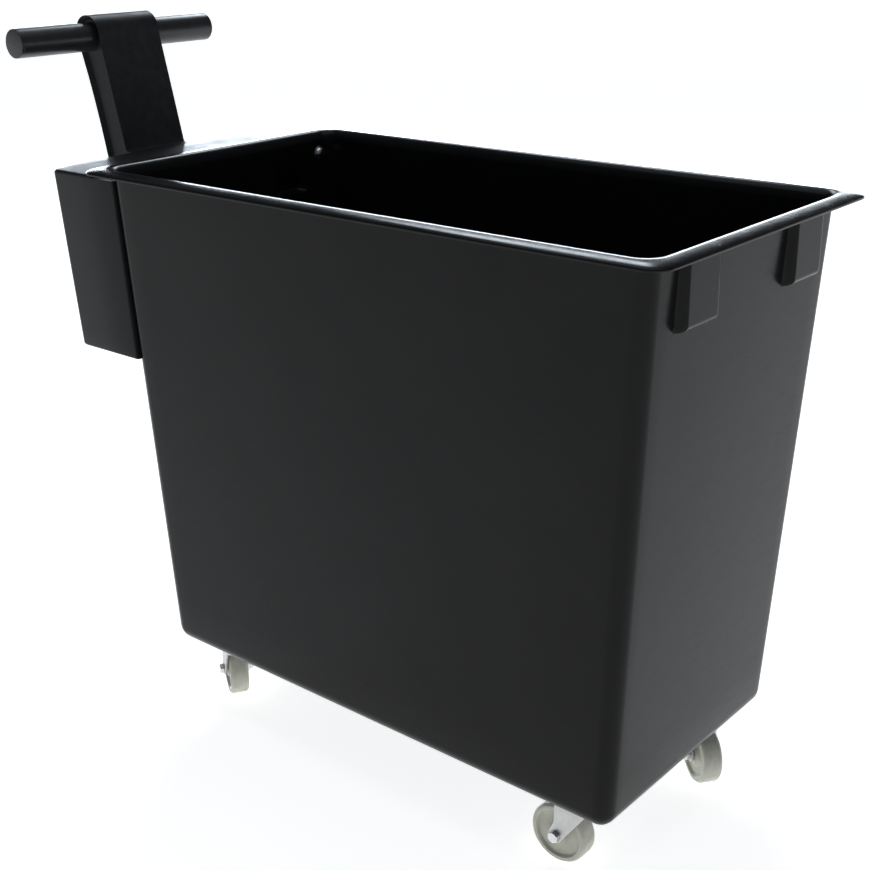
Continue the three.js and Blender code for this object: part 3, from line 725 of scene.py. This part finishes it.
def make_grip():
    to_bar = Matrix.Translation(BAR_MIDDLE) @ Matrix.Rotation(math.pi / 2, 4, "X")
    end = (BAR_HIGH.y - BAR_LOW.y) / 2
    bore = BAR_RADIUS - BAR_WALL
    section = [(bore, -end), (BAR_RADIUS - BAR_EDGE, -end), (BAR_RADIUS, -end + BAR_EDGE),
               (BAR_RADIUS, end - BAR_EDGE), (BAR_RADIUS - BAR_EDGE, end), (bore, end)]
    bar = transform(turned("push_bar", section, 80, closed=True), to_bar)
    finish_piece(bar, "chassis", GRIP_PLASTIC, ["grip_bar"])
    cap = PLUG_HIGH.y - BAR_HIGH.y
    for side, turn in (("left", math.pi), ("right", 0)):
        spigot = bore - 0.3 * MM
        profile = [(0, end - PLUG_SPIGOT), (spigot, end - PLUG_SPIGOT), (spigot, end + 0.2 * MM)]
        profile += [(BAR_RADIUS - 0.1 * MM, end + 0.2 * MM)]
        profile += arc((BAR_RADIUS - 1.1 * MM, end + cap - PLUG_EDGE), PLUG_EDGE, 0, 90, 5)
        profile += [(0, end + cap)]
        plug = transform(turned(f"bar_plug_{side}", profile, 80), to_bar @ Matrix.Rotation(turn, 4, "X"))
        finish_piece(plug, "chassis", GRIP_PLASTIC, [f"grip_plug_{side}"])


# ======== Fixings ========
def domed_bolt(name, shank):
    """Domed head with its underside at z = 0 and a shank below, with a thread on its end."""
    profile = [(0, -shank), (THREAD_RADIUS - 0.8 * MM, -shank)]
    turns = int(min(shank, THREAD_LENGTH) / THREAD_PITCH)
    for i in range(turns):
        z = -shank + (i + 0.6) * THREAD_PITCH
        profile += [(THREAD_RADIUS, z), (THREAD_RADIUS - THREAD_DEPTH, z + THREAD_PITCH / 2)]
    profile += [(THREAD_RADIUS, -shank + (turns + 0.6) * THREAD_PITCH), (THREAD_RADIUS, 0)]
    profile.append((HEAD_DOME_RADIUS, 0))
    for i in range(1, 13):
        angle = i / 12 * math.pi / 2
        rise = HEAD_DOME_RIM + (HEAD_DOME_HEIGHT - HEAD_DOME_RIM) * math.sin(angle)
        profile.append((HEAD_DOME_RADIUS * math.cos(angle), rise))
    return turned(name, profile, 40, sharp_degrees=50)


def washer(name):
    middle = WASHER_THICKNESS / 2
    section = rounded_profile(
        [(BOLT_HOLE_RADIUS, middle), (BOLT_HOLE_RADIUS, 0), (WASHER_RADIUS, 0),
         (WASHER_RADIUS, WASHER_THICKNESS), (BOLT_HOLE_RADIUS, WASHER_THICKNESS),
         (BOLT_HOLE_RADIUS, middle + 1e-5)],
        [0.2 * MM, 0.3 * MM, 0.4 * MM, 0.2 * MM], 3,
    )
    return turned(name, section, 40, closed=True)


def hex_ring(flats, limit, z, steps=5):
    ring = []
    for i in range(6 * steps):
        angle = 2 * math.pi * i / (6 * steps)
        from_flat = (angle + math.pi / 6) % (math.pi / 3) - math.pi / 6
        radius = min(flats / 2 / math.cos(from_flat), limit)
        ring.append(Vector((radius * math.cos(angle), radius * math.sin(angle), z)))
    return ring


def hexagon(name, flats, height, collar=False):
    """Hexagon nut or head standing on z = 0, with turned chamfers; a collar adds the locking ring."""
    corner = flats / math.sqrt(3)
    rings = [
        hex_ring(flats, flats * 0.49, 0),
        hex_ring(flats, corner * 0.965, 0.35 * MM),
        hex_ring(flats, corner, 0.9 * MM),
        hex_ring(flats, corner, height - 1.2 * MM),
        hex_ring(flats, corner * 0.96, height - 0.5 * MM),
        hex_ring(flats, flats * 0.485, height),
    ]
    if collar:
        for radius, z in ((0.40, 0.1), (0.40, 0.9), (0.36, 1.3), (0.30, 1.3), (0.29, 0.4)):
            rings.append(hex_ring(flats, flats * radius, height + z * MM))
    return mesh_piece(name, *stacked(rings), sharp_degrees=28)


def make_handle_fixings():
    for place in range(1, 5):
        low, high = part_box(f"handle_bolt_{place}")
        axis_y, axis_z = (low.y + high.y) / 2, (low.z + high.z) / 2
        seat = high.x - HEAD_DOME_HEIGHT
        to_wall = Matrix.Translation((seat, axis_y, axis_z)) @ Matrix.Rotation(math.pi / 2, 4, "Y")
        bolt = transform(domed_bolt(f"unit_bolt_{place}", seat - low.x), to_wall)
        finish_piece(bolt, "chassis", BRIGHT_ZINC, [f"handle_bolt_{place}"])
        under_head = to_wall @ Matrix.Translation((0, 0, -WASHER_THICKNESS - TOUCH_GAP))
        ring = transform(washer(f"unit_washer_{place}"), under_head)
        finish_piece(ring, "chassis", BRIGHT_ZINC)
        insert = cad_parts[f"handle_insert_{place}"]
        insert.data.materials.clear()
        insert.data.materials.append(INSERT_BRASS)


# ======== Castors ========
CASTOR_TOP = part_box("castor_front_right_plate")[1].z
PLATE_THICKNESS = 3 * MM
PLATE_CORNER = (32 * MM, 22 * MM)  # centre of a corner's round, from the pivot
PLATE_CORNER_RADIUS = 8 * MM
KING_PIN_RADIUS = 5 * MM
KING_HEAD_RADIUS = 8 * MM
KING_HEAD_HEIGHT = 3 * MM
KING_HEAD_DROP = 3.6 * MM  # top of the pin's head, below the top of the crown
CUP_RADIUS = 19 * MM
CUP_DEPTH = 3 * MM
RACE_BORE = 6 * MM
RACE_RADIUS = 17 * MM
RACE_BULGE_RADIUS = 18.2 * MM
CROWN_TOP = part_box("castor_front_right_fork")[1].z
CROWN_RADIUS = 22 * MM
SHEET = 2.5 * MM
LEG_OUT = 17.5 * MM
LEG_AHEAD = 2 * MM  # front of a leg at the crown, ahead of the axle
FOOT_RADIUS = 9 * MM
WHEEL_LOW, WHEEL_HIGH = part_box("castor_front_right_wheel")
WHEEL_RADIUS = (WHEEL_HIGH.z - WHEEL_LOW.z) / 2
WHEEL_HALF = (WHEEL_HIGH.y - WHEEL_LOW.y) / 2
TRAIL = 26 * MM


def make_plate(name, pivot):
    outline = []
    for turn, sign_x, sign_y in ((0, 1, 1), (90, -1, 1), (180, -1, -1), (270, 1, -1)):
        corner = (sign_x * PLATE_CORNER[0], sign_y * PLATE_CORNER[1])
        outline += arc(corner, PLATE_CORNER_RADIUS, turn, turn + 90, 6)
    low = CASTOR_TOP - PLATE_THICKNESS
    rings = []
    for inset, z in ((0.6, 0), (0.15, 0.15), (0, 0.6), (0, 2.4), (0.15, 2.85), (0.6, 3)):
        rings.append([Vector((x, y, low + z * MM)) for x, y in inset_outline(outline, inset * MM)])
    plate = mesh_piece(f"castor_{name}_top_plate", *stacked(rings))
    pin_low = CROWN_TOP - KING_HEAD_HEIGHT - KING_HEAD_DROP
    head_top = pin_low + KING_HEAD_HEIGHT
    cup_low = low - CUP_DEPTH
    cup_top = low + 1 * MM
    cup = turned("cup", rounded_profile([
        (0, pin_low), (5.5 * MM, pin_low), (KING_HEAD_RADIUS, head_top), (KING_PIN_RADIUS, head_top),
        (KING_PIN_RADIUS, cup_low), (CUP_RADIUS, cup_low), (22 * MM, cup_top), (0, cup_top),
    ], [0.5 * MM, 1.2 * MM, 0, 0, 1.4 * MM, 0.8 * MM], 4), 48)
    combine(plate, cup, "UNION")
    tidy_mesh(plate)
    transform(plate, Matrix.Translation(pivot))
    finish_piece(plate, "chassis", ZINC_STEEL, [f"castor_{name}_plate"])


def make_race(name, pivot):
    low, high = CROWN_TOP + 0.3 * MM, CASTOR_TOP - PLATE_THICKNESS - 3.3 * MM
    middle = (low + high) / 2
    section = [(RACE_BORE, low), (RACE_RADIUS, low)]
    section += arc((RACE_BULGE_RADIUS, (low + middle) / 2), (middle - low) / 2 - 0.1 * MM, -90, 80, 6)
    section += [(RACE_RADIUS + 0.2 * MM, middle)]
    section += arc((RACE_BULGE_RADIUS, (high + middle) / 2), (high - middle) / 2 - 0.1 * MM, -80, 90, 6)
    section += [(RACE_RADIUS, high), (RACE_BORE, high)]
    race = turned(f"castor_{name}_ball_race", section, 56, closed=True)
    transform(race, Matrix.Translation(pivot))
    finish_piece(race, "chassis", ZINC_STEEL, [f"castor_{name}_race"])


def fork_reach(y, z):
    """Front and back limits of the fork's sheet along the trail, at a point of its bent section."""
    axle_z = WHEEL_RADIUS
    top = CROWN_TOP - SHEET * 2
    high_start = TRAIL + LEG_AHEAD
    if z > top:
        chord = math.sqrt(max(CROWN_RADIUS ** 2 - y * y, 0))
        return -chord, max(chord, high_start)
    low_start = -math.sqrt(CROWN_RADIUS ** 2 - LEG_OUT ** 2)
    tangent_z = axle_z - FOOT_RADIUS * 0.4
    low_end = TRAIL - FOOT_RADIUS * 0.92
    if z >= tangent_z:
        t = (top - z) / (top - tangent_z)
        low = low_start + (low_end - low_start) * t
    else:
        low = TRAIL - math.sqrt(max(FOOT_RADIUS ** 2 - (axle_z - z) ** 2, 0))
    if z >= axle_z:
        t = smooth_step((top - z) / (top - axle_z), 0.45, 1.0)
        high = high_start + (FOOT_RADIUS - LEG_AHEAD) * t
    else:
        high = TRAIL + math.sqrt(max(FOOT_RADIUS ** 2 - (axle_z - z) ** 2, 0))
    return low, high


def fork_path():
    """Outer line of the fork's bent section in Y and Z, from one foot over the crown to the other."""
    foot = WHEEL_RADIUS - FOOT_RADIUS
    bend = 4.5 * MM
    half = []
    for i in range(9):
        angle = i / 8 * math.pi / 2
        half.append((LEG_OUT, foot + FOOT_RADIUS * (1 - math.cos(angle)) + 0.02 * MM))
    half += [(LEG_OUT, WHEEL_RADIUS + step * MM) for step in (5, 11, 17, 23, 29, 35)]
    half += arc((LEG_OUT - bend, CROWN_TOP - bend), bend, 0, 90, 7)
    half += [(9 * MM, CROWN_TOP), (4 * MM, CROWN_TOP)]
    return [(-y, z) for y, z in half] + [(0, CROWN_TOP)] + list(reversed(half))


def make_fork(name, to_swivel):
    columns = 9
    path = fork_path()
    points, faces = [], []
    for y, z in path:
        low, high = fork_reach(y, z)
        for i in range(columns):
            t = (1 - math.cos(math.pi * i / (columns - 1))) / 2
            points.append(Vector((low + (high - low) * t, y, z)))
    for row in range(len(path) - 1):
        for i in range(columns - 1):
            a = row * columns + i
            faces.append((a, a + 1, a + columns + 1, a + columns))
    fork = mesh_piece(f"castor_{name}_fork_sheet", points, faces)
    solid = fork.modifiers.new("thickness", "SOLIDIFY")
    solid.thickness = SHEET
    solid.offset = -1
    solid.use_even_offset = True
    bpy.context.view_layer.update()
    apply_modifiers(fork)
    bevel(fork, 0.5 * MM, 2, 50)
    transform(fork, to_swivel)
    finish_piece(fork, f"swivel_{name}", ZINC_STEEL, [f"castor_{name}_fork"])


def wheel_profile():
    half, outer = WHEEL_HALF, WHEEL_RADIUS
    dish = half - 4 * MM
    side = rounded_profile(
        [(6.3 * MM, 0), (6.3 * MM, half), (11.5 * MM, half), (13.2 * MM, dish), (28.6 * MM, dish),
         (30.6 * MM, half - 0.3 * MM), (outer - 2.4 * MM, half - 0.3 * MM),
         (outer, half - 3.4 * MM), (outer, 0)],
        [0.5 * MM, 0.8 * MM, 1.6 * MM, 2.0 * MM, 1.0 * MM, 1.6 * MM, 3 * MM], 4,
    )
    return side + [(radius, -along) for radius, along in reversed(side[1:-1])]


def make_wheel(name, to_axle):
    wheel = turned(f"castor_{name}_nylon_wheel", wheel_profile(), 96, closed=True, sharp_degrees=50)
    transform(wheel, to_axle @ Matrix.Rotation(math.pi / 2, 4, "X"))
    finish_piece(wheel, f"wheel_{name}", WHEEL_NYLON, [f"castor_{name}_wheel"])


def make_axle(name, to_axle):
    body = f"swivel_{name}"
    seat = LEG_OUT + 0.2 * MM
    section = rounded_profile(
        [(BOLT_HOLE_RADIUS, 0), (BOLT_HOLE_RADIUS, BUSH_HALF), (BUSH_RADIUS, BUSH_HALF), (BUSH_RADIUS, 0)],
        [0.2 * MM, 0.4 * MM], 3,
    )
    section += [(radius, -along) for radius, along in reversed(section[1:-1])]
    bush = turned(f"castor_{name}_axle_bush", section, 40, closed=True)
    transform(bush, to_axle @ Matrix.Rotation(math.pi / 2, 4, "X"))
    finish_piece(bush, body, ZINC_STEEL, [f"castor_{name}_bush"])

    head = hexagon(f"castor_{name}_axle_screw", NUT_FLATS, AXLE_HEAD_HEIGHT)
    tip = -2 * seat - AXLE_PAST_FORK
    first = tip + THREAD_DEPTH
    profile = [(0, tip), (THREAD_RADIUS - THREAD_DEPTH, tip), (THREAD_RADIUS, first)]
    for i in range(AXLE_THREADS):
        z = first + (i + 0.5) * THREAD_PITCH
        profile += [(THREAD_RADIUS - THREAD_DEPTH, z), (THREAD_RADIUS, z + THREAD_PITCH / 2)]
    profile += [(THREAD_RADIUS, 1 * MM), (0, 1 * MM)]
    shank = turned("shank", profile, 32)
    combine(head, shank, "UNION")
    tidy_mesh(head, 28)
    to_head = to_axle @ Matrix.Translation((0, seat, 0)) @ Matrix.Rotation(-math.pi / 2, 4, "X")
    transform(head, to_head)
    finish_piece(head, body, BRIGHT_ZINC, [f"castor_{name}_axle_bolt"])
    nut = hexagon(f"castor_{name}_lock_nut", NUT_FLATS, LOCK_NUT_HEIGHT, collar=True)
    transform(nut, to_axle @ Matrix.Translation((0, -seat, 0)) @ Matrix.Rotation(math.pi / 2, 4, "X"))
    finish_piece(nut, body, BRIGHT_ZINC, [f"castor_{name}_axle_nut"])


def make_castor_fixings(name):
    floor_top = TUB_LOW.z + FLOOR
    nut_low = CASTOR_TOP - PLATE_THICKNESS - NUT_HEIGHT - TOUCH_GAP
    for place in range(1, 5):
        low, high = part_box(f"castor_{name}_bolt_{place}")
        x, y = (low.x + high.x) / 2, (low.y + high.y) / 2
        seat = high.z - HEAD_DOME_HEIGHT
        bolt = domed_bolt(f"castor_{name}_plate_bolt_{place}", seat - low.z)
        transform(bolt, Matrix.Translation((x, y, seat)))
        finish_piece(bolt, "chassis", BRIGHT_ZINC, [f"castor_{name}_bolt_{place}"])
        rise = turned(f"castor_{name}_seat_{place}", [
            (0, floor_top - 1 * MM), (WASHER_RADIUS, floor_top - 1 * MM),
            (WASHER_RADIUS, floor_top + 0.2 * MM),
            (WASHER_RADIUS - 0.4 * MM, seat - TOUCH_GAP), (0, seat - TOUCH_GAP),
        ], 48)
        transform(rise, Matrix.Translation((x, y, 0)))
        finish_piece(rise, "chassis", TUB_PLASTIC)
        nut = hexagon(f"castor_{name}_plate_nut_{place}", NUT_FLATS, NUT_HEIGHT)
        transform(nut, Matrix.Translation((x, y, nut_low)))
        finish_piece(nut, "chassis", BRIGHT_ZINC)


def make_castor(name):
    plate_low, plate_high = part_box(f"castor_{name}_plate")
    wheel_low, wheel_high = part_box(f"castor_{name}_wheel")
    pivot = Vector(((plate_low.x + plate_high.x) / 2, (plate_low.y + plate_high.y) / 2, 0))
    wheel = (wheel_low + wheel_high) / 2
    heading = math.atan2(wheel.y - pivot.y, wheel.x - pivot.x)
    to_swivel = Matrix.Translation(pivot) @ Matrix.Rotation(heading, 4, "Z")
    to_axle = to_swivel @ Matrix.Translation((TRAIL, 0, WHEEL_RADIUS))
    make_plate(name, pivot)
    make_race(name, pivot)
    make_fork(name, to_swivel)
    make_wheel(name, to_axle)
    make_axle(name, to_axle)
    make_castor_fixings(name)


# ======== Floor, light and camera ========
def make_floor():
    corners = [(x * FLOOR_HALF, y * FLOOR_HALF) for x, y in ((-1, -1), (1, -1), (1, 1), (-1, 1))]
    rings = [[Vector((x, y, z)) for x, y in corners] for z in (-FLOOR_THICKNESS, 0.0)]
    floor = mesh_piece("floor", *stacked(rings))
    n = Nodes("floor_paint")
    tone = n.mix(n.noise(3, 2), (0.90, 0.90, 0.895), (0.93, 0.93, 0.925))
    floor.data.materials.append(n.shade(
        Base_Color=tone, Roughness=0.85, Specular_IOR_Level=0.1,
        Emission_Color=(1.0, 1.0, 1.0), Emission_Strength=FLOOR_GLOW,
    ))


def area_light(name, place, aim, size, power, colour=(1, 1, 1)):
    data = bpy.data.lights.new(name, "AREA")
    data.shape = "RECTANGLE"
    data.size, data.size_y = size
    data.energy = power
    data.color = colour
    light = bpy.data.objects.new(name, data)
    light.location = place
    light.rotation_mode = "QUATERNION"
    light.rotation_quaternion = (Vector(aim) - Vector(place)).to_track_quat("-Z", "Y")
    bpy.context.scene.collection.objects.link(light)


def make_light():
    world = bpy.data.worlds.new("studio")
    bpy.context.scene.world = world
    world.use_nodes = True
    background = world.node_tree.nodes["Background"]
    background.inputs["Color"].default_value = (0.82, 0.91, 1.0, 1.0)
    sky = Tree(world.node_tree, "Generated")
    rise = sky.spread(sky.axis(sky.coordinates, "Z"), 0.10, 0.19, 1.0, 0.0)
    side = sky.spread(sky.dot(sky.coordinates, STRIP_SIDE), 0.5, 0.9, 0.0, 1.0)
    strip = sky.math("MULTIPLY", sky.math("MULTIPLY", rise, side), STRIP_STRENGTH)
    sky.put(sky.math("ADD", strip, SKY_STRENGTH), background.inputs["Strength"])
    area_light("overhead", (-0.1, 0.1, 2.8), (-0.1, 0.05, 0.0), (2.4, 1.8), 12, (0.93, 0.97, 1.0))
    area_light("window", (-2.3, 3.0, 3.35), (-0.5, 0.0, 0.9), (1.5, 1.3), 60, (0.84, 0.92, 1.0))


def make_camera():
    azimuth, elevation = math.radians(CAMERA_AZIMUTH), math.radians(CAMERA_ELEVATION)
    roll = math.radians(CAMERA_ROLL)
    back = Vector((
        math.sin(azimuth) * math.cos(elevation),
        -math.cos(azimuth) * math.cos(elevation),
        math.sin(elevation),
    ))
    level_right = Vector((math.cos(azimuth), math.sin(azimuth), 0))
    level_up = back.cross(level_right)
    right = level_right * math.cos(roll) + level_up * math.sin(roll)
    up = level_up * math.cos(roll) - level_right * math.sin(roll)
    data = bpy.data.cameras.new("camera")
    data.lens = CAMERA_LENS
    camera = bpy.data.objects.new("camera", data)
    place = TUB_MIDDLE + back * CAMERA_DISTANCE + right * CAMERA_SLIDE[0] + up * CAMERA_SLIDE[1]
    camera.matrix_world = Matrix.Translation(place) @ Matrix((right, up, back)).transposed().to_4x4()
    bpy.context.scene.collection.objects.link(camera)
    bpy.context.scene.camera = camera
    bpy.context.scene.view_settings.view_transform = "Standard"


make_camera()
make_light()
make_floor()
make_tub()
make_housing()
make_grip()
make_handle_fixings()
for castor in CASTORS:
    make_castor(castor)
